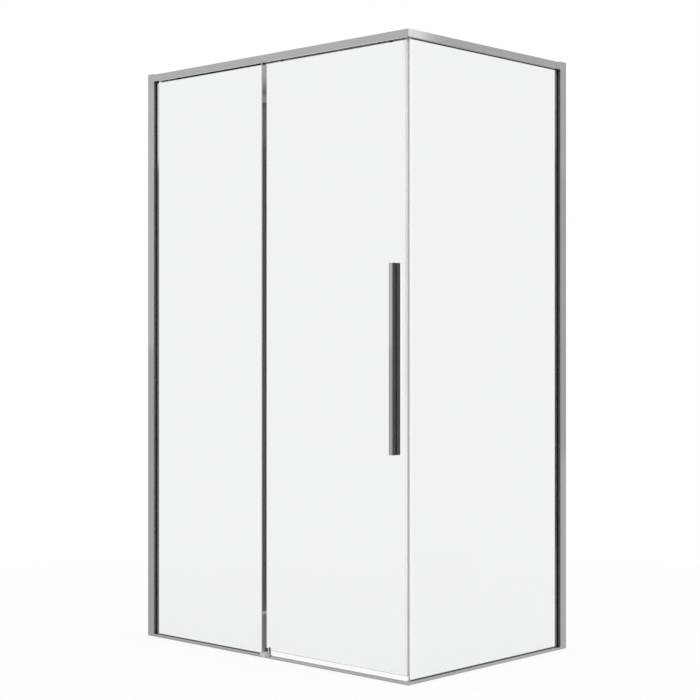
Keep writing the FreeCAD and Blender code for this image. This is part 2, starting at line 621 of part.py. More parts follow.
def hanger(u):
    """Plate behind the door glass that carries two rollers."""
    outline = block((u - HANGER_LENGTH / 2, u + HANGER_LENGTH / 2), PLATE)
    body = FRONT.upright(outline, (RAIL_FOOT + HANGER_FOOT, DOOR_TOP))
    span = (PLATE[0] - 1, PLATE[1] + 1)
    axle_holes = [FRONT.rod(AXLE_RADIUS + PLUG / 2, place, span, AXLE_Z) for place in axle_places(u)]
    return body.cut(axle_holes + [FRONT.rod(BOLT_RADIUS + PLUG, u, span, CLAMP_Z)])


def clamp_disc(u):
    """Round plate in front of the glass, its boss through the glass."""
    disc = FRONT.rod(DISC_RADIUS, u, (DOOR[0] - DISC, DOOR[0]), CLAMP_Z)
    boss = FRONT.rod(BOSS_RADIUS, u, (DOOR[0] - DISC, DOOR[1]), CLAMP_Z)
    return disc.fuse(boss).cut(FRONT.rod(BOLT_RADIUS + PLUG, u, (DOOR[0], DOOR[1] + 1), CLAMP_Z))


def glass_bush(u, z, bore):
    """Plastic ring that keeps metal off the edge of a hole in the door glass."""
    body = FRONT.rod(GLASS_HOLE_RADIUS - PLUG, u, DOOR, z)
    return body.cut(FRONT.rod(bore + PLUG, u, (DOOR[0] - 1, DOOR[1] + 1), z))


def clamp_bolt(u):
    head = FRONT.rod(BOLT_HEAD_RADIUS, u, (PLATE[1], PLATE[1] + BOLT_HEAD), CLAMP_Z)
    return head.fuse(FRONT.rod(BOLT_RADIUS, u, (DOOR[0] + 1, PLATE[1]), CLAMP_Z))


def roller_axle(u):
    shank = FRONT.rod(AXLE_RADIUS, u, (PLATE[0] + PLUG, AXLE_END), AXLE_Z)
    collar = FRONT.rod(COLLAR_RADIUS, u, (PLATE[1], ROLLER[0] - AXLE_PLAY / 2), AXLE_Z)
    head = FRONT.rod(COLLAR_RADIUS, u, (AXLE_END - AXLE_HEAD, AXLE_END), AXLE_Z)
    return shank.fuse([collar, head])


def roller_bearing(u):
    middle = sum(ROLLER) / 2
    span = (middle - BEARING_WIDTH / 2, middle + BEARING_WIDTH / 2)
    ring = FRONT.rod(BEARING_RADIUS, u, span, AXLE_Z)
    hub = FRONT.rod(COLLAR_RADIUS, u, ROLLER, AXLE_Z)
    return ring.fuse(hub).cut(FRONT.rod(AXLE_RADIUS + RUN, u, (ROLLER[0] - 1, ROLLER[1] + 1), AXLE_Z))


def roller_tyre(u):
    middle = sum(ROLLER) / 2
    span = (middle - BEARING_WIDTH / 2, middle + BEARING_WIDTH / 2)
    body = FRONT.rod(ROLLER_RADIUS, u, ROLLER, AXLE_Z)
    rim = FRONT.rod((COLLAR_RADIUS + BEARING_RADIUS) / 2, u, (ROLLER[0] - 1, ROLLER[1] + 1), AXLE_Z)
    return body.cut([rim, FRONT.rod(BEARING_RADIUS + TYRE_FIT, u, span, AXLE_Z)])


def track_stops():
    """Blocks in the track that the hangers stop against."""
    d = (DOOR[1] + FIT, TRACK_BACK - FIT)
    z = (LEDGE_TOP, LEDGE_TOP + STOP_HEIGHT)
    left_face = HANGERS[0] - HANGER_LENGTH / 2 - DOOR_TRAVEL - FIT
    right_face = HANGERS[1] + HANGER_LENGTH / 2 + FIT
    return [
        FRONT.box((left_face - STOP_LENGTH, left_face), d, z),
        FRONT.box((right_face, right_face + STOP_LENGTH), d, z),
    ]


# ---- Handle -------------------------------------------------------------------------------------
def handle_bar(d, bore_d):
    """Straight bar along the door glass, with a blind hole for each stud."""
    body = FRONT.upright(block(HANDLE, d, EDGE), (HANDLE_FOOT, HANDLE_FOOT + HANDLE_LENGTH))
    return body.cut([FRONT.rod(STUD_RADIUS + PLUG, HANDLE_MIDDLE, bore_d, z) for z in STUD_HEIGHTS])


def handle_pad(d):
    body = FRONT.box(HANDLE, d, (HANDLE_FOOT, HANDLE_FOOT + HANDLE_LENGTH))
    span = (d[0] - 1, d[1] + 1)
    return body.cut([FRONT.rod(STUD_RADIUS + PLUG, HANDLE_MIDDLE, span, z) for z in STUD_HEIGHTS])


def handle_parts():
    outer = (DOOR[0] - HANDLE_PAD - HANDLE_BAR, DOOR[0] - HANDLE_PAD)
    inner = (DOOR[1] + HANDLE_PAD, DOOR[1] + HANDLE_PAD + HANDLE_BAR)
    stud = (outer[1] - STUD_BITE, inner[0] + STUD_BITE)
    return {
        "handle_outer": [handle_bar(outer, (stud[0] - FIT, outer[1] + 1))],
        "handle_inner": [handle_bar(inner, (inner[0] - 1, stud[1] + FIT))],
        "handle_pads": [handle_pad((outer[1], DOOR[0])), handle_pad((DOOR[1], inner[0]))],
        "handle_studs": [FRONT.rod(STUD_RADIUS, HANDLE_MIDDLE, stud, z) for z in STUD_HEIGHTS],
        "handle_bushes": [glass_bush(HANDLE_MIDDLE, z, STUD_RADIUS) for z in STUD_HEIGHTS],
    }


# ---- Assembly -----------------------------------------------------------------------------------
def wall_parts():
    parts = {}
    for name, face in (("left", FRONT), ("right", SIDE_WALL)):
        parts["wall_profile_" + name] = [wall_profile(face)]
        parts["adjusting_profile_" + name] = [adjusting_profile(face)]
        parts["wall_cap_" + name] = [wall_cap(face)]
        parts["wall_gasket_" + name] = [wall_gasket(face)]
        parts["rail_bracket_" + name] = [rail_bracket(face)]
    parts["adjusting_screws"] = clip_screws(FRONT) + clip_screws(SIDE_WALL)
    parts["screw_covers"] = clip_covers(FRONT) + clip_covers(SIDE_WALL)
    return parts


def rail_parts():
    front_u = (WALL_FACE, GUIDE[0])
    side_u = (CORNER, DEPTH - WALL_FACE)
    return {
        "front_top_rail": [front_top_rail()],
        "side_top_rail": [side_top_rail()],
        "rail_corner_connector": [rail_corner_connector()],
        "rail_end_cap": [rail_end_cap()],
        "rail_screws": [countersunk(*place, 0.0, SCREW_LENGTH) for place in rail_screw_places()],
        "front_top_gasket": [top_gasket(FRONT, (WALL_FACE, STILE_RIGHT - STILE_WIDTH))],
        "side_top_gasket": [top_gasket(SIDE, (SIDE_RAIL_START, DEPTH - WALL_FACE))],
        "front_bottom_profile": [bottom_profile(FRONT, front_u)],
        "side_bottom_profile": [bottom_profile(SIDE, side_u)],
        "front_bottom_gasket": [bottom_gasket(FRONT, front_u)],
        "side_bottom_gasket": [bottom_gasket(SIDE, side_u)],
        "door_threshold": [door_threshold()],
        "bottom_corner_connector": [bottom_corner_connector()],
    }


def pane_parts():
    return {
        "fixed_glass": [fixed_glass()],
        "side_glass": [side_glass()],
        "overlap_stile": [overlap_stile()],
        "stile_seal": [stile_seal()],
        "side_edge_seal": [side_edge_seal()],
        "side_magnet_strip": [side_magnet_room(0.0)],
        "guide_base": [guide_base()],
        "guide_fork": [guide_fork()],
        "guide_screw": [guide_screw_body(0.0)],
        "track_stops": track_stops(),
    }


def door_parts():
    parts = {
        "door_glass": [door_glass()],
        "door_drip_seal": [door_drip_seal()],
        "door_edge_seal": [door_edge_seal()],
        "door_magnet_strip": [door_magnet_room(0.0)],
        "door_trailing_seal": [door_trailing_seal()],
        "clamp_discs": [clamp_disc(u) for u in HANGERS],
        "clamp_bolts": [clamp_bolt(u) for u in HANGERS],
        "clamp_bushes": [glass_bush(u, CLAMP_Z, BOSS_RADIUS) for u in HANGERS],
    }
    for name, u in zip(("left", "right"), HANGERS):
        parts["hanger_" + name] = [hanger(u)]
    places = [place for u in HANGERS for place in axle_places(u)]
    parts["roller_axles"] = [roller_axle(place) for place in places]
    for number, place in enumerate(places, 1):
        parts[f"roller_tyre_{number}"] = [roller_tyre(place)]
        parts[f"roller_bearing_{number}"] = [roller_bearing(place)]
    return parts


def main():
    os.makedirs("parts", exist_ok=True)
    for group in (wall_parts(), rail_parts(), pane_parts(), door_parts(), handle_parts()):
        for name, solids in group.items():
            shape = solids[0] if len(solids) == 1 else Part.makeCompound(solids)
            shape.exportStep(f"parts/{name}.step")


main()
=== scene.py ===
"""Looks of a corner shower enclosure: bright metal frame, clear panes, clear seals and dark rubber."""
import json
import math
import random

import bmesh
import bpy
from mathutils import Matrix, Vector

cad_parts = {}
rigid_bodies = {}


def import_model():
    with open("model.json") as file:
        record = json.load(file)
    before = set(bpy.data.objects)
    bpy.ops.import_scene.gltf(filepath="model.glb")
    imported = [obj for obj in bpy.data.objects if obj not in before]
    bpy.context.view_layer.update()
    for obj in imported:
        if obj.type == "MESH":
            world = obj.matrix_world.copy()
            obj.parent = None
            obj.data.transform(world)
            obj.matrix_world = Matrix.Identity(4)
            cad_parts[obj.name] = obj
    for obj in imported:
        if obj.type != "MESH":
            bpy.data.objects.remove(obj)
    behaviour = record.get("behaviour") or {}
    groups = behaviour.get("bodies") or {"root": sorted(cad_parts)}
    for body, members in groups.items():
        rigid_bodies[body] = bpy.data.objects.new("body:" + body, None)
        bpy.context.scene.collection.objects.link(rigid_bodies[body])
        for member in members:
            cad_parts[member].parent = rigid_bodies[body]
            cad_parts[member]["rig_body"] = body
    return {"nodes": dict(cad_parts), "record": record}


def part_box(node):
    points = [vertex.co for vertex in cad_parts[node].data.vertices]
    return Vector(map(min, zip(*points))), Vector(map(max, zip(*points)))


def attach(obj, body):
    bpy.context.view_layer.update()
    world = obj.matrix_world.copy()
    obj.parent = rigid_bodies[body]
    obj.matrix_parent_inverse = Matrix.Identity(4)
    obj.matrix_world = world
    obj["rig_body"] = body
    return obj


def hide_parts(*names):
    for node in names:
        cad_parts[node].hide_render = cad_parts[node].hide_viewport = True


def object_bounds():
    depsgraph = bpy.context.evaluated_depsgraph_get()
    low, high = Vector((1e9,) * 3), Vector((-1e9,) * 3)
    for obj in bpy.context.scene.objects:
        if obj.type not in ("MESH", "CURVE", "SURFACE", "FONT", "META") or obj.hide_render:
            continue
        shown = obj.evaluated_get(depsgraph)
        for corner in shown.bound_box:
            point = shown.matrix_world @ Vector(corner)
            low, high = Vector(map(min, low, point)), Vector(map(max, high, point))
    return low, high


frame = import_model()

CAD_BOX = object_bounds()
NODES = frame["nodes"]
SLOTS = {part["node"]: part["material_slot"] for part in frame["record"]["subparts"]}
UP = Vector((0.0, 0.0, 1.0))

# ---- Camera, in metres and degrees --------------------------------------------------------------
PICTURE = 700.0  # pixels each way
FOCAL = 1581.891  # pixels
HORIZON = 347.376  # pixel row of the horizon
SENSOR = 36.0  # mm
EYE = (3.6763, -3.93813, 1.00197)
TURN = 43.1206  # from looking along +Y, anticlockwise

# ---- Rubber and seals, in metres ----------------------------------------------------------------
RUBBER = 0.002  # gasket between glass and metal
MOUTH_LIP = 0.004  # rubber that closes the mouth of a wall profile
SKIN = 0.0008  # wall of the clear seals
LIMP_SKIN = 0.8 * SKIN  # wall of their limp lips
STOP_LENGTH = 0.02  # end stop in the track
SOFT_EDGE = 0.0004  # rounding of rubber edges
MAGNET_INSET = 0.0014  # magnet core in its pocket, front and back
FOOT_LAP = 0.009  # the side pane's edge seal covers this length of the foot gasket
PILE_BASE = 0.0003  # woven base
PILE_STEP = 0.0012  # from hair to hair
PILE_ROWS = 3
PILE_HAIR = 0.00045  # half the width of a hair at its foot
PILE_LEAN = 0.8  # largest lean of a hair, as a share of PILE_HAIR
PILE_SEED = 7

# ---- Screws and covers --------------------------------------------------------------------------
ROUND_SIDES = 36
SOCKET_SHARE = 0.42  # hexagon socket, as a share of the radius of the head
SOCKET_DEPTH = 0.0011
SHANK_SHARE = 0.55  # shank and depth of the head of a rail screw, as a share of the radius of the head
HEAD_FLAT = 0.85  # flat end of the guide screw's head, as a share of its radius
HEAD_CHAMFER = 0.3  # height of the chamfer round it, as a share of its radius
COVER_RIM = 0.0004
DOME_STEPS = 6

# ---- Metal --------------------------------------------------------------------------------------
BRIGHT = (0.77, 0.775, 0.78)
DRAWN_ALONG = 1.2  # features per metre along a drawn profile
DRAWN_ACROSS = 900.0
BEVEL = 0.00025
SEAM_BEVEL = 0.0006  # at the seam of the corner
SAME_PLACE = 0.000005  # points nearer than this are one
SHARP_SLOTS = ("safety_glass", "guide_grey", "dark_nylon")  # slots whose edges stay as they are

# ---- Glass and clear seals ----------------------------------------------------------------------
COATED = 0.12  # share of a window's gloss on the panes
PANE_IOR = 1.03
PANE_FACE = (0.870, 0.911, 0.895)
PANE_EDGE = (0.97, 0.985, 0.98)
SEAL_SKIN = 0.03  # cover of one wall of a clear seal

# ---- Studio -------------------------------------------------------------------------------------
FLOOR_RADIUS = 30.0
FLOOR_DROP = 0.0005
FLOOR_WHITE = (0.93, 0.93, 0.93)
FADE_REACH = (0.8, 2.6)  # the floor turns plain white between these distances from the middle
FADE_SHARE = (0.8, 1.0)  # share of plain white at each of them
FILL = 0.8  # light from all round
CARD_DISTANCE = 30.0
CARD_HEIGHT = 1.0  # the height from which the cards' elevations are counted
CARD_STEP = 2.0  # degrees
AIM = (0.0, 0.0, 0.9)  # where the lamps point
# Azimuth from and to, anticlockwise from +X, then bands of elevation from and to with their brightness
PLAIN = ((-30.0, 0.0, 0.42), (0.0, 30.0, 0.55))
CARDS = (
    (-182.0, -150.0, PLAIN),
    (-150.0, -128.0, ((-30.0, 0.0, 0.435), (0.0, 30.0, 0.55))),
    (-128.0, -118.0, ((-30.0, -8.6, 0.24), (-8.6, 8.4, 0.10), (8.4, 30.0, 0.25))),
    (-118.0, -80.0, PLAIN),
    (-74.0, -30.0, PLAIN),
    (-24.0, 30.0, PLAIN),
    (36.0, 42.0, ((-30.0, 7.9, 0.25), (7.9, 30.0, 0.95))),
    (42.0, 46.3, ((-30.0, -11.1, 0.2), (-11.1, 8.6, 0.097), (8.6, 9.8, 0.17), (9.8, 11.1, 0.12),
                  (11.1, 30.0, 0.5))),
    (46.3, 48.35, ((-30.0, -10.4, 0.49), (-10.4, 7.0, 0.092), (7.0, 9.5, 0.24), (9.5, 30.0, 0.98))),
    (48.35, 50.4, ((-30.0, -10.4, 0.49), (-10.4, 7.0, 0.092), (7.0, 9.0, 0.24), (9.0, 30.0, 0.485))),
    (50.4, 80.0, ((-30.0, -4.5, 0.51), (-4.5, 7.0, 0.445), (7.0, 30.0, 0.485))),
    (86.0, 130.5, ((-30.0, 0.0, 0.42), (0.0, 30.0, 0.43))),
    (130.5, 178.0, ((-30.0, 0.0, 0.9), (0.0, 30.0, 0.43))),
    (-182.0, -128.0, ((-89.0, -30.0, 0.57),)),
    (-128.0, 30.0, ((-89.0, -30.0, 0.25),)),
    (30.0, 100.0, ((-89.0, -30.0, 0.47),)),
    (100.0, 178.0, ((-89.0, -30.0, 0.25),)),
)
LAMPS = (  # name, place, size, watts
    ("key", (2.5, -4.0, 3.6), 2.5, 40.0),
    ("side", (4.5, 1.0, 2.6), 2.5, 30.0),
    ("top", (0.0, 0.0, 4.5), 3.0, 35.0),
)


# ---- Shader helpers -----------------------------------------------------------------------------
class Finish:
    """One material: its node tree and its Principled shader."""

    def __init__(self, name, constants):
        self.material = bpy.data.materials.new(name)
        self.material.use_nodes = True
        self.tree = self.material.node_tree
        self.shader = self.tree.nodes["Principled BSDF"]
        for socket, value in constants.items():
            self.shader.inputs[socket].default_value = value

    def add(self, kind, constants=(), links=(), **settings):
        """New node with its constant sockets, its links from other sockets, and its own settings."""
        node = self.tree.nodes.new(kind)
        for name, value in settings.items():
            setattr(node, name, value)
        for socket, value in dict(constants).items():
            node.inputs[socket].default_value = value
        for socket, source in dict(links).items():
            self.tree.links.new(source, node.inputs[socket])
        return node

    def place(self, scale):
        """The piece's own coordinates, stretched by a scale for each axis."""
        own = self.add("ShaderNodeTexCoord").outputs["Object"]
        return self.add("ShaderNodeMapping", {"Scale": scale}, {"Vector": own}).outputs["Vector"]

    def noise(self, scale, detail=2.0, roughness=0.5):
        links = {"Vector": self.place(scale)}
        constants = {"Scale": 1.0, "Detail": detail, "Roughness": roughness}
        return self.add("ShaderNodeTexNoise", constants, links).outputs["Fac"]

    def between(self, value, low, high, source=(0.3, 0.7)):
        """A value spread over a range."""
        constants = {"From Min": source[0], "From Max": source[1], "To Min": low, "To Max": high}
        return self.add("ShaderNodeMapRange", constants, {"Value": value}).outputs["Result"]

    def mixed(self, value, first, second):
        """Colour between two, by a value."""
        constants = {"A": (*first, 1.0), "B": (*second, 1.0)}
        node = self.tree.nodes.new("ShaderNodeMix")
        node.data_type = "RGBA"
        for socket in node.inputs:
            if socket.type == "RGBA" and socket.name in constants:
                socket.default_value = constants[socket.name]
        self.tree.links.new(value, node.inputs["Factor"])
        return [socket for socket in node.outputs if socket.type == "RGBA"][0]

    def drive(self, socket, source):
        self.tree.links.new(source, self.shader.inputs[socket])

    def bump(self, height, distance):
        constants = {"Strength": 1.0, "Distance": distance}
        node = self.add("ShaderNodeBump", constants, {"Height": height})
        self.drive("Normal", node.outputs["Normal"])


def shade(colour, factor):
    return tuple(min(1.0, channel * factor) for channel in colour)


# ---- Materials ----------------------------------------------------------------------------------
def drawn_metal(name, along):
    """Polished extrusion with faint draw lines along one axis, 0 to 2."""
    metal = Finish(name, {"Metallic": 1.0})
    scale = [DRAWN_ACROSS] * 3
    scale[along] = DRAWN_ALONG
    lines = metal.noise(scale, detail=3.0, roughness=0.6)
    cloud = metal.noise((6.0, 6.0, 6.0))
    metal.drive("Base Color", metal.mixed(cloud, shade(BRIGHT, 0.985), shade(BRIGHT, 1.015)))
    metal.drive("Roughness", metal.between(lines, 0.04, 0.08))
    metal.bump(lines, 0.000001)
    return metal.material


def plastic(name, colour, rough, grain=2500.0):
    body = Finish(name, {"IOR": 1.48})
    cloud = body.noise((9.0, 9.0, 9.0))
    fine = body.noise((grain, grain, grain), detail=1.0)
    body.drive("Base Color", body.mixed(cloud, shade(colour, 0.96), shade(colour, 1.04)))
    body.drive("Roughness", body.between(fine, rough * 0.85, rough * 1.15))
    body.bump(fine, 0.00001)
    return body.material


def cast_metal(name, colour, rough):
    metal = Finish(name, {"Metallic": 1.0})
    fine = metal.noise((1400.0, 1400.0, 1400.0), detail=2.0)
    metal.drive("Base Color", metal.mixed(fine, shade(colour, 0.95), shade(colour, 1.05)))
    metal.drive("Roughness", metal.between(fine, rough * 0.8, rough * 1.2))
    metal.bump(fine, 0.00001)
    return metal.material


def clear_glass(name, across):
    """Clear pane, with paler and duller ground edges. It is thin along one axis, 0 to 2."""
    glass = Finish(name, {"Transmission Weight": 1.0, "IOR": PANE_IOR, "Coat Weight": COATED})
    normal = glass.add("ShaderNodeTexCoord").outputs["Normal"]
    split = glass.add("ShaderNodeSeparateXYZ", links={"Vector": normal})
    size = glass.add("ShaderNodeMath", links={0: split.outputs[across]}, operation="ABSOLUTE")
    edge = glass.between(size.outputs["Value"], 1.0, 0.0, source=(0.3, 0.6))
    glass.drive("Base Color", glass.mixed(edge, PANE_FACE, PANE_EDGE))
    glass.drive("Roughness", glass.between(edge, 0.0, 0.25, source=(0.0, 1.0)))
    return glass.material


def soft_clear():
    """Clear flexible sealing profile: a faint milky skin that is seen through."""
    seal = Finish("soft_clear", {"Alpha": SEAL_SKIN, "IOR": 1.4})
    cloud = seal.noise((12.0, 12.0, 12.0))
    seal.drive("Base Color", seal.mixed(cloud, (0.90, 0.905, 0.905), (0.93, 0.935, 0.935)))
    seal.drive("Roughness", seal.between(cloud, 0.2, 0.35))
    return seal.material


def make_materials():
    """Every material, by the record's slot and, where the slot needs one, an axis."""
    slots = {
        "cap_plastic": plastic("cap_plastic", (0.42, 0.43, 0.44), 0.3),
        "connector": cast_metal("cast_connector", (0.60, 0.61, 0.62), 0.3),
        "steel": cast_metal("steel", (0.62, 0.62, 0.61), 0.25),
        "dark_metal": cast_metal("dark_metal", (0.10, 0.105, 0.11), 0.3),
        "gasket": plastic("black_rubber", (0.08, 0.083, 0.082), 0.55),
        "clear_seal": soft_clear(),
        "pile": plastic("pile", (0.09, 0.092, 0.092), 0.9),
        "magnet": plastic("magnet_strip", (0.93, 0.93, 0.93), 0.5),
        "guide_grey": plastic("guide_grey", (0.58, 0.59, 0.59), 0.4),
        "dark_nylon": plastic("dark_nylon", (0.12, 0.125, 0.124), 0.45),
        "roller_nylon": plastic("roller_nylon", (0.82, 0.82, 0.80), 0.4),
    }
    for place, axis in enumerate("xyz"):
        slots["bright_profile", axis] = drawn_metal("bright_metal_" + axis, place)
    for place, axis in enumerate("xy"):
        slots["safety_glass", axis] = clear_glass("clear_glass_" + axis, place)
    return slots


AXES = {
    "front_top_rail": "x", "front_bottom_profile": "x", "door_threshold": "x",
    "side_top_rail": "y", "side_bottom_profile": "y", "rail_end_cap": "y",
    "fixed_glass": "y", "door_glass": "y", "side_glass": "x",
}


def material_of(node, materials):
    slot = SLOTS[node]
    if slot in ("bright_profile", "safety_glass"):
        return materials[slot, AXES.get(node, "z")]
    return materials[slot]


# ---- Faces of the enclosure and shapes on them --------------------------------------------------
class Face:
    """One upright face of the enclosure: u runs along it, d runs into the cabin and z is up."""

    def __init__(self, x, y, along, inward):
        self.start = Vector((x, y, 0.0))
        self.along = Vector(along)
        self.inward = Vector(inward)

    def at(self, u, d, z):
        return self.start + self.along * u + self.inward * d + UP * z

    def spans(self, node):
        """From and to in u, d and z of a carried-over node."""
        ends = [corner - self.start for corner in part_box(node)]
        return [tuple(sorted(end.dot(way) for end in ends)) for way in (self.along, self.inward, UP)]


(X_LOW, Y_LOW, _), (X_HIGH, Y_HIGH, _) = CAD_BOX
FRONT = Face(X_LOW, Y_LOW, (1.0, 0.0, 0.0), (0.0, 1.0, 0.0))  # u from the left wall
SIDE = Face(X_HIGH, Y_LOW, (0.0, 1.0, 0.0), (-1.0, 0.0, 0.0))  # u from the free corner
SIDE_WALL = Face(X_HIGH, Y_HIGH, (0.0, -1.0, 0.0), (-1.0, 0.0, 0.0))  # u from the back wall


def rounded(ring, radius=SOFT_EDGE, steps=3):
    """Outline with its corners rounded, each by no more than its shorter side allows."""
    ring = [Vector(point) for point in ring]
    result = []
    for n, corner in enumerate(ring):
        back, ahead = ring[n - 1] - corner, ring[(n + 1) % len(ring)] - corner
        cut = min(radius, 0.45 * back.length, 0.45 * ahead.length)
        start, end = corner + back.normalized() * cut, corner + ahead.normalized() * cut
        for step in range(steps + 1):
            share = step / steps
            result.append(start.lerp(corner, share).lerp(corner.lerp(end, share), share))
    return result


def ribbon(line, width=SKIN):
    """Outline of a strip of even thickness along an open line."""
    line = [Vector(point) for point in line]
    ways = [(b - a).normalized() for a, b in zip(line, line[1:])]
    left, right = [], []
    for point, before, after in zip(line, ways[:1] + ways, ways + ways[-1:]):
        across = Vector((-(before + after).y, (before + after).x)).normalized()
        reach = width / 2 / across.dot(Vector((-after.y, after.x)))
        left.append(point + across * reach)
        right.append(point - across * reach)
    return left + right[::-1]


def curved(start, control, end, steps=6):
    """Points of a gentle bend between two places."""
    start, control, end = Vector(start), Vector(control), Vector(end)
    shares = [step / steps for step in range(steps + 1)]
    return [start.lerp(control, share).lerp(control.lerp(end, share), share) for share in shares]


def box_ring(a, b):
    return [(a[0], b[0]), (a[1], b[0]), (a[1], b[1]), (a[0], b[1])]


class Shape:
    """Collects closed bodies, and turns them into one piece."""

    def __init__(self):
        self.points = []
        self.faces = []

    def add(self, points, faces):
        first = len(self.points)
        self.points += points
        self.faces += [[first + n for n in face] for face in faces]

    def prism(self, ring, sweep):
        count = len(ring)
        sides = [(n, (n + 1) % count, count + (n + 1) % count, count + n) for n in range(count)]
        caps = [range(count - 1, -1, -1), range(count, 2 * count)]
        self.add(ring + [point + sweep for point in ring], sides + caps)

    def upright(self, face, outline, z):
        """Post with an outline in u and d."""
        self.prism([face.at(u, d, z[0]) for u, d in outline], UP * (z[1] - z[0]))

    def level(self, face, outline, u):
        """Rail with an outline in d and z."""
        self.prism([face.at(u[0], d, z) for d, z in outline], face.along * (u[1] - u[0]))

    def across(self, face, outline, d):
        """Plate with an outline in u and z."""
        self.prism([face.at(u, d[0], z) for u, z in outline], face.inward * (d[1] - d[0]))

    def turned(self, centre, axis, profile, hexagons=()):
        """Round body from pairs of radius and height, its ends on the axis. Some rings are hexagons."""
        side = axis.orthogonal().normalized()
        other = axis.cross(side)
        points = [centre + axis * profile[0][1]]
        for number, (radius, height) in enumerate(profile[1:-1], 1):
            for step in range(ROUND_SIDES):
                turn = 2 * math.pi * step / ROUND_SIDES
                reach = radius
                if number in hexagons:
                    reach *= math.cos(math.pi / 6) / math.cos(turn % (math.pi / 3) - math.pi / 6)
                way = side * math.cos(turn) + other * math.sin(turn)
                points.append(centre + axis * height + way * reach)
        points.append(centre + axis * profile[-1][1])
        faces = []
        last = len(points) - 1
        for step in range(ROUND_SIDES):
            after = (step + 1) % ROUND_SIDES
            faces.append((0, 1 + step, 1 + after))
            faces.append((last, last - ROUND_SIDES + after, last - ROUND_SIDES + step))
            for ring in range(len(profile) - 3):
                low, high = 1 + ring * ROUND_SIDES, 1 + (ring + 1) * ROUND_SIDES
                faces.append((low + step, high + step, high + after, low + after))
        self.add(points, faces)

    def piece(self, name, node, materials):
        """One object that stands for a carried-over node."""
        mesh = bpy.data.meshes.new(name)
        mesh.from_pydata([tuple(point) for point in self.points], [], self.faces)
        work = bmesh.new()
        work.from_mesh(mesh)
        bmesh.ops.recalc_face_normals(work, faces=work.faces)
        work.to_mesh(mesh)
        work.free()
        mesh.polygons.foreach_set("use_smooth", [True] * len(mesh.polygons))
        mesh.set_sharp_from_angle(angle=math.radians(40.0))
        mesh.materials.append(material_of(node, materials))
        piece = bpy.data.objects.new(name, mesh)
        bpy.context.scene.collection.objects.link(piece)
        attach(piece, NODES[node]["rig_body"])
        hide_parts(node)
        return piece


# ---- Rubber -------------------------------------------------------------------------------------
def wall_gasket(face, side, pane, materials):
    """Rubber round the upright edge of a pane, with a lip that closes the profile's mouth."""
    node = "wall_gasket_" + side
    u, d, z = face.spans(node)
    pane_u, pane_d, _ = face.spans(pane)
    channel = (pane_d[0] - RUBBER, pane_d[1] + RUBBER)
    seat = pane_u[0] if face is FRONT else u[0] + RUBBER
    outline = [
        (u[0], channel[0]), (u[1] - MOUTH_LIP, channel[0]), (u[1] - MOUTH_LIP, d[0]), (u[1], d[0]),
        (u[1], pane_d[0]), (seat, pane_d[0]), (seat, pane_d[1]), (u[1], pane_d[1]), (u[1], channel[1]),
        (u[0], channel[1]),
    ]
    shape = Shape()
    shape.upright(face, rounded(outline), z)
    shape.piece(node + "_strip", node, materials)


def edge_gasket(face, node, pane, foot, materials):
    """Rubber along the foot or the top of a pane, with a lip on each side of it."""
    u, d, z = face.spans(node)
    _, pane_d, pane_z = face.spans(pane)
    back, tip, seat = (z[0], z[1], pane_z[0]) if foot else (z[1], z[0], pane_z[1])
    shoulder = tip + math.copysign(RUBBER / 2, back - tip)
    outline = [
        (d[0], back), (d[1], back), (d[1], shoulder), (pane_d[1], tip), (pane_d[1], seat),
        (pane_d[0], seat), (pane_d[0], tip), (d[0], shoulder),
    ]
    start = u[0] + FOOT_LAP if foot and face is SIDE else u[0]
    shape = Shape()
    shape.level(face, rounded(outline), (start, u[1]))
    shape.piece(node + "_strip", node, materials)


def plate_pair(face, node, split, materials):
    """Two rounded blocks in a node. Split gives the reach of each in u and d."""
    u, d, z = face.spans(node)
    shape = Shape()
    for part_u, part_d in split(u, d):
        shape.across(face, rounded(box_ring(part_u, z), 4 * SOFT_EDGE), part_d)
    shape.piece(node + "_rubber", node, materials)


def make_rubber(materials):
    wall_gasket(FRONT, "left", "fixed_glass", materials)
    wall_gasket(SIDE_WALL, "right", "side_glass", materials)
    for face, name, pane in ((FRONT, "front", "fixed_glass"), (SIDE, "side", "side_glass")):
        edge_gasket(face, name + "_bottom_gasket", pane, True, materials)
        edge_gasket(face, name + "_top_gasket", pane, False, materials)
    door_d = FRONT.spans("door_glass")[1]

    def both_sides_of_door(u, d):
        return (u, (d[0], door_d[0])), (u, (door_d[1], d[1]))

    def both_ends(u, d):
        return ((u[0], u[0] + STOP_LENGTH), d), ((u[1] - STOP_LENGTH, u[1]), d)

    plate_pair(FRONT, "handle_pads", both_sides_of_door, materials)
    plate_pair(FRONT, "track_stops", both_ends, materials)


# ---- Seals --------------------------------------------------------------------------------------
def inset(span, amount):
    return span[0] + amount, span[1] - amount


def strip_magnet(face, node, materials):
    u, d, z = face.spans(node)
    shape = Shape()
    shape.upright(face, rounded(box_ring(u, inset(d, MAGNET_INSET))), z)
    shape.piece(node + "_core", node, materials)


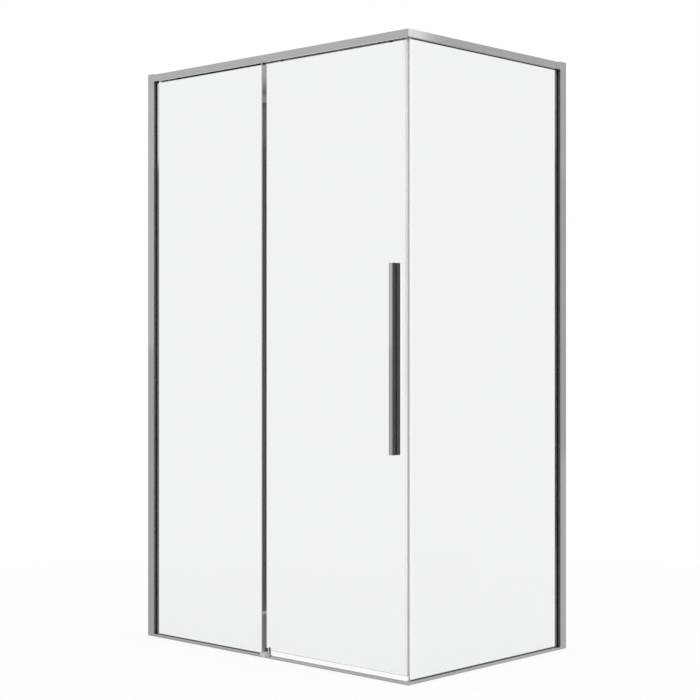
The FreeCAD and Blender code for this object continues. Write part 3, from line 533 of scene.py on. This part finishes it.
def side_edge_seal(materials):
    """Clip round the free edge of the side pane, with a rounded nose and a magnet pocket inside."""
    u, d, z = SIDE.spans("side_edge_seal")
    pane_u, pane_d, _ = SIDE.spans("side_glass")
    outer, inner = pane_d[0] - SKIN, pane_d[1] + SKIN
    tip = (u[0], sum(pane_d) / 2)
    nose = curved((pane_u[0], outer), (u[0], outer), tip) + curved(tip, (u[0], inner), (pane_u[0], inner))[1:]
    slot = [
        (u[1], inner), (u[1], pane_d[1]), (pane_u[0], pane_d[1]),
        (pane_u[0], pane_d[0]), (u[1], pane_d[0]), (u[1], outer),
    ]
    shape = Shape()
    shape.upright(SIDE, nose + slot, z)
    pocket_u, far = inset((pane_u[0], u[1]), SKIN / 2), d[1] - SKIN / 2
    shape.upright(SIDE, ribbon([(pocket_u[0], inner), (pocket_u[0], far), (pocket_u[1], far)]), z)
    shape.piece("side_edge_seal_profile", "side_edge_seal", materials)


def door_edge_seal(materials):
    """Clip round the closing edge of the door, with a hollow nose for the magnet."""
    u, d, z = FRONT.spans("door_edge_seal")
    pane_u, pane_d, _ = FRONT.spans("door_glass")
    skin_d = (pane_d[0] - SKIN / 2, pane_d[1] + SKIN / 2)
    end = pane_u[1] + SKIN / 2
    shape = Shape()
    clip = [(u[0], skin_d[0]), (end, skin_d[0]), (end, skin_d[1]), (u[0], skin_d[1])]
    shape.upright(FRONT, ribbon(clip), z)
    nose_u, nose_d = (end + SKIN, u[1] - SKIN / 2), inset(d, SKIN / 2)
    nose = box_ring(nose_u, nose_d) + [(nose_u[0], nose_d[0] + SKIN)]
    shape.upright(FRONT, ribbon(nose), z)
    shape.piece("door_edge_seal_profile", "door_edge_seal", materials)


def door_trailing_seal(materials):
    """Clip round the trailing edge of the door, with a fin that bends towards the fixed pane."""
    u, d, z = FRONT.spans("door_trailing_seal")
    pane_u, pane_d, _ = FRONT.spans("door_glass")
    skin_d = (pane_d[0] - SKIN / 2, pane_d[1] + SKIN / 2)
    end = pane_u[0] - SKIN / 2
    shape = Shape()
    clip = [(u[1], skin_d[1]), (end, skin_d[1]), (end, skin_d[0]), (u[1], skin_d[0])]
    shape.upright(FRONT, ribbon(clip), z)
    root = (end + 2 * SKIN, skin_d[0] - SKIN / 2)
    fin = curved(root, (end + 3 * SKIN, d[0] + SKIN), (end, d[0] + SKIN / 2))
    shape.upright(FRONT, ribbon(fin, LIMP_SKIN), z)
    shape.piece("door_trailing_seal_profile", "door_trailing_seal", materials)


def door_drip_seal(materials):
    """Clip under the door with a limp lip that trails over the threshold."""
    u, d, z = FRONT.spans("door_drip_seal")
    _, pane_d, pane_z = FRONT.spans("door_glass")
    skin_d = (pane_d[0] - SKIN / 2, pane_d[1] + SKIN / 2)
    floor = pane_z[0] - SKIN / 2
    middle = sum(pane_d) / 2
    shape = Shape()
    clip = [(skin_d[0], z[1]), (skin_d[0], floor), (skin_d[1], floor), (skin_d[1], z[1])]
    shape.level(FRONT, ribbon(clip), u)
    root = (middle, floor - SKIN / 2)
    lip = curved(root, (middle - SKIN, (z[0] + floor) / 2), (middle + SKIN / 2, z[0]))
    shape.level(FRONT, ribbon(lip, LIMP_SKIN), u)
    shape.piece("door_drip_seal_profile", "door_drip_seal", materials)


def stile_seal(materials):
    """Woven base with rows of short leaning hairs."""
    u, d, z = FRONT.spans("stile_seal")
    chance = random.Random(PILE_SEED)
    shape = Shape()
    shape.upright(FRONT, box_ring(u, (d[0], d[0] + PILE_BASE)), z)
    for row in range(PILE_ROWS):
        middle = u[0] + (u[1] - u[0]) * (row + 0.5) / PILE_ROWS
        height = z[0] + PILE_STEP
        while height < z[1] - PILE_STEP:
            foot = [
                (middle - PILE_HAIR, height), (middle + PILE_HAIR, height), (middle, height + PILE_STEP),
            ]
            points = [FRONT.at(a, d[0] + PILE_BASE / 2, b) for a, b in foot]
            lean = PILE_HAIR * chance.uniform(-PILE_LEAN, PILE_LEAN)
            reach = d[1] - PILE_BASE * chance.uniform(0.0, 1.0)
            tip = FRONT.at(middle + lean, reach, height + PILE_STEP / 2 + lean)
            shape.add(points + [tip], [(0, 1, 3), (1, 2, 3), (2, 0, 3), (0, 2, 1)])
            height += PILE_STEP
    shape.piece("stile_seal_pile", "stile_seal", materials)


def make_seals(materials):
    side_edge_seal(materials)
    door_edge_seal(materials)
    door_trailing_seal(materials)
    door_drip_seal(materials)
    stile_seal(materials)
    strip_magnet(SIDE, "side_magnet_strip", materials)
    strip_magnet(FRONT, "door_magnet_strip", materials)


# ---- Screws and their covers --------------------------------------------------------------------
def islands(node):
    """Lowest and highest corner of each separate body in a carried-over node."""
    mesh = NODES[node].data
    work = bmesh.new()
    work.from_mesh(mesh)
    bmesh.ops.remove_doubles(work, verts=work.verts, dist=SAME_PLACE)
    left = set(work.verts)
    boxes = []
    while left:
        group, edge = set(), [left.pop()]
        while edge:
            point = edge.pop()
            group.add(point)
            near = {link.other_vert(point) for link in point.link_edges} & left
            left -= near
            edge += near
        places = [point.co for point in group]
        boxes.append([
            Vector([choice(place[n] for place in places) for n in range(3)]) for choice in (min, max)
        ])
    work.free()
    return sorted(boxes, key=lambda box: tuple(round(value, 4) for value in box[0]))


def screw_profile(radius, head, shank, length):
    """Radius and height pairs of a countersunk screw with a socket, from the bottom of its socket."""
    socket = radius * SOCKET_SHARE
    return [
        (0.0, -SOCKET_DEPTH), (socket, -SOCKET_DEPTH), (socket, 0.0), (radius - BEVEL, 0.0),
        (radius, -BEVEL / 2), (shank, -head), (shank, -length), (0.0, -length),
    ]


def make_screws(materials):
    shape = Shape()
    for low, high in islands("rail_screws"):
        radius = (high.x - low.x) / 2
        top = Vector(((low.x + high.x) / 2, (low.y + high.y) / 2, high.z))
        shank = radius * SHANK_SHARE
        shape.turned(top, UP, screw_profile(radius, shank, shank, high.z - low.z), (1, 2))
    shape.piece("rail_screws_socketed", "rail_screws", materials)
    shape = Shape()
    low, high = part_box("guide_screw")
    radius = (high.z - low.z) / 2
    end = Vector((high.x, (low.y + high.y) / 2, (low.z + high.z) / 2))
    socket, shank, back = radius * SOCKET_SHARE, radius / 2, low.x - high.x
    profile = [
        (0.0, -SOCKET_DEPTH), (socket, -SOCKET_DEPTH), (socket, 0.0), (radius * HEAD_FLAT, 0.0),
        (radius, -radius * HEAD_CHAMFER), (radius, -radius), (shank, -radius), (shank, back), (0.0, back),
    ]
    shape.turned(end, Vector((1.0, 0.0, 0.0)), profile, (1, 2))
    shape.piece("guide_screw_socketed", "guide_screw", materials)


def make_covers(materials):
    """Domed snap-on covers over the locking screws."""
    shape = Shape()
    for low, high in islands("screw_covers"):
        front = high.y < 0.0
        axis = Vector((0.0, 1.0, 0.0)) if front else Vector((-1.0, 0.0, 0.0))
        middle = (low + high) / 2
        foot = Vector((middle.x, low.y, middle.z)) if front else Vector((high.x, middle.y, middle.z))
        radius = (high.z - low.z) / 2
        height = high.y - low.y if front else high.x - low.x
        profile = [(0.0, 0.0), (radius, 0.0), (radius, COVER_RIM)]
        for step in range(1, DOME_STEPS + 1):
            turn = math.pi / 2 * step / DOME_STEPS
            lift = COVER_RIM + (height - COVER_RIM) * math.sin(turn)
            profile.append(((radius - COVER_RIM) * math.cos(turn), lift))
        shape.turned(foot, axis, profile[:-1] + [(0.0, height)])
    shape.piece("screw_covers_domed", "screw_covers", materials)


# ---- Carried-over CAD nodes ---------------------------------------------------------------------
def dress(node, materials):
    """Finish and softened edges of one carried-over node."""
    piece = NODES[node]
    piece.data.materials.clear()
    piece.data.materials.append(material_of(node, materials))
    if SLOTS[node] == "safety_glass":
        piece.visible_shadow = False
    if SLOTS[node] in SHARP_SLOTS:
        return
    weld = piece.modifiers.new("weld", "WELD")
    weld.merge_threshold = SAME_PLACE
    bevel = piece.modifiers.new("bevel", "BEVEL")
    bevel.width = SEAM_BEVEL if node == "rail_end_cap" else BEVEL
    bevel.segments = 2
    bevel.limit_method = "ANGLE"
    bevel.angle_limit = math.radians(30.0)
    bevel.harden_normals = True


# ---- Studio -------------------------------------------------------------------------------------
def seen_directly(tree):
    """1 for rays from the camera, off polished surfaces and through glass, else 0."""
    path = tree.nodes.new("ShaderNodeLightPath")
    total = path.outputs["Is Camera Ray"]
    for ray in ("Is Glossy Ray", "Is Transmission Ray"):
        node = tree.nodes.new("ShaderNodeMath")
        node.operation = "MAXIMUM"
        tree.links.new(total, node.inputs[0])
        tree.links.new(path.outputs[ray], node.inputs[1])
        total = node.outputs["Value"]
    return total


def make_world():
    world = bpy.data.worlds.new("studio")
    world.use_nodes = True
    tree = world.node_tree
    background = tree.nodes["Background"]
    background.inputs["Color"].default_value = (1.0, 1.0, 1.0, 1.0)
    strength = tree.nodes.new("ShaderNodeMapRange")
    strength.inputs["To Min"].default_value = FILL
    strength.inputs["To Max"].default_value = 1.0
    tree.links.new(seen_directly(tree), strength.inputs["Value"])
    tree.links.new(strength.outputs["Result"], background.inputs["Strength"])
    bpy.context.scene.world = world


def after_gloss(tree):
    """Over 0 for rays that have met a polished surface before, also through a pane."""
    return tree.nodes.new("ShaderNodeLightPath").outputs["Glossy Depth"]


def make_floor():
    """Pale floor that fades to plain white away from the part."""
    bpy.ops.mesh.primitive_circle_add(vertices=96, radius=FLOOR_RADIUS, fill_type="NGON",
                                      location=(0.0, 0.0, -FLOOR_DROP))
    floor = bpy.context.object
    floor.name = "floor"
    paint = Finish("floor_white", {"Base Color": (*FLOOR_WHITE, 1.0), "Roughness": 0.9})
    tree = paint.tree
    glow = paint.add("ShaderNodeEmission", {"Color": (1.0, 1.0, 1.0, 1.0), "Strength": 1.0})
    own = paint.add("ShaderNodeTexCoord").outputs["Object"]
    reach = paint.add("ShaderNodeVectorMath", links={0: own}, operation="LENGTH").outputs["Value"]
    share = paint.between(reach, *FADE_SHARE, source=FADE_REACH)
    direct = paint.add("ShaderNodeMath", links={0: share, 1: seen_directly(tree)}, operation="MULTIPLY")
    mix = paint.add("ShaderNodeMixShader", links={
        0: direct.outputs["Value"], 1: paint.shader.outputs["BSDF"], 2: glow.outputs["Emission"],
    })
    clear = paint.add("ShaderNodeBsdfTransparent").outputs["BSDF"]
    gate = paint.add("ShaderNodeMixShader", links={0: after_gloss(tree), 1: mix.outputs["Shader"], 2: clear})
    tree.links.new(gate.outputs["Shader"], tree.nodes["Material Output"].inputs["Surface"])
    floor.data.materials.append(paint.material)
    floor.visible_glossy = False


def direction(azimuth, elevation):
    azimuth, elevation = math.radians(azimuth), math.radians(elevation)
    flat = math.cos(elevation)
    return Vector((flat * math.cos(azimuth), flat * math.sin(azimuth), math.sin(elevation)))


def card_material(name, brightness):
    """Glow that only rays off a polished surface meet; for the others the card is not there."""
    material = bpy.data.materials.new(name)
    material.use_nodes = True
    tree = material.node_tree
    tree.nodes.remove(tree.nodes["Principled BSDF"])
    glow = tree.nodes.new("ShaderNodeEmission")
    glow.inputs["Strength"].default_value = brightness
    clear = tree.nodes.new("ShaderNodeBsdfTransparent")
    mix = tree.nodes.new("ShaderNodeMixShader")
    tree.links.new(after_gloss(tree), mix.inputs[0])
    tree.links.new(clear.outputs["BSDF"], mix.inputs[1])
    tree.links.new(glow.outputs["Emission"], mix.inputs[2])
    tree.links.new(mix.outputs["Shader"], tree.nodes["Material Output"].inputs["Surface"])
    material.cycles.emission_sampling = "NONE"
    return material


def make_card(name, azimuths, elevations, brightness):
    """Curved studio card that only polished surfaces show."""
    steps = max(1, math.ceil((azimuths[1] - azimuths[0]) / CARD_STEP))
    centre = Vector((0.0, 0.0, CARD_HEIGHT))
    turns = [azimuths[0] + (azimuths[1] - azimuths[0]) * step / steps for step in range(steps + 1)]
    points = [centre + direction(turn, lift) * CARD_DISTANCE for turn in turns for lift in elevations]
    faces = [(2 * n, 2 * n + 2, 2 * n + 3, 2 * n + 1) for n in range(steps)]
    mesh = bpy.data.meshes.new(name)
    mesh.from_pydata(points, [], faces)
    mesh.materials.append(card_material(name, brightness))
    card = bpy.data.objects.new(name, mesh)
    bpy.context.scene.collection.objects.link(card)
    for ray in ("camera", "diffuse", "shadow", "volume_scatter"):
        setattr(card, "visible_" + ray, False)


def make_cards():
    for first, last, bands in CARDS:
        for low, high, brightness in bands:
            make_card(f"card_{first:.0f}_{low:.0f}", (first, last), (low, high), brightness)


def make_lamps():
    for name, place, size, watts in LAMPS:
        lamp = bpy.data.lights.new(name, "AREA")
        lamp.size = size
        lamp.energy = watts
        holder = bpy.data.objects.new(name, lamp)
        bpy.context.scene.collection.objects.link(holder)
        holder.location = place
        aim = Vector(AIM) - Vector(place)
        holder.rotation_euler = aim.to_track_quat("-Z", "Y").to_euler()
        holder.visible_glossy = False
        holder.visible_transmission = False


def make_camera():
    data = bpy.data.cameras.new("camera")
    data.sensor_width = SENSOR
    data.lens = FOCAL / PICTURE * SENSOR
    data.shift_y = (HORIZON - PICTURE / 2) / PICTURE
    camera = bpy.data.objects.new("camera", data)
    bpy.context.scene.collection.objects.link(camera)
    camera.location = EYE
    camera.rotation_euler = (math.radians(90.0), 0.0, math.radians(TURN))
    bpy.context.scene.camera = camera


# ---- Scene --------------------------------------------------------------------------------------
def main():
    make_camera()
    materials = make_materials()
    for node in sorted(NODES):
        dress(node, materials)
    make_rubber(materials)
    make_seals(materials)
    make_screws(materials)
    make_covers(materials)
    make_world()
    make_floor()
    make_cards()
    make_lamps()
    scene = bpy.context.scene
    scene.view_settings.view_transform = "Standard"


main()
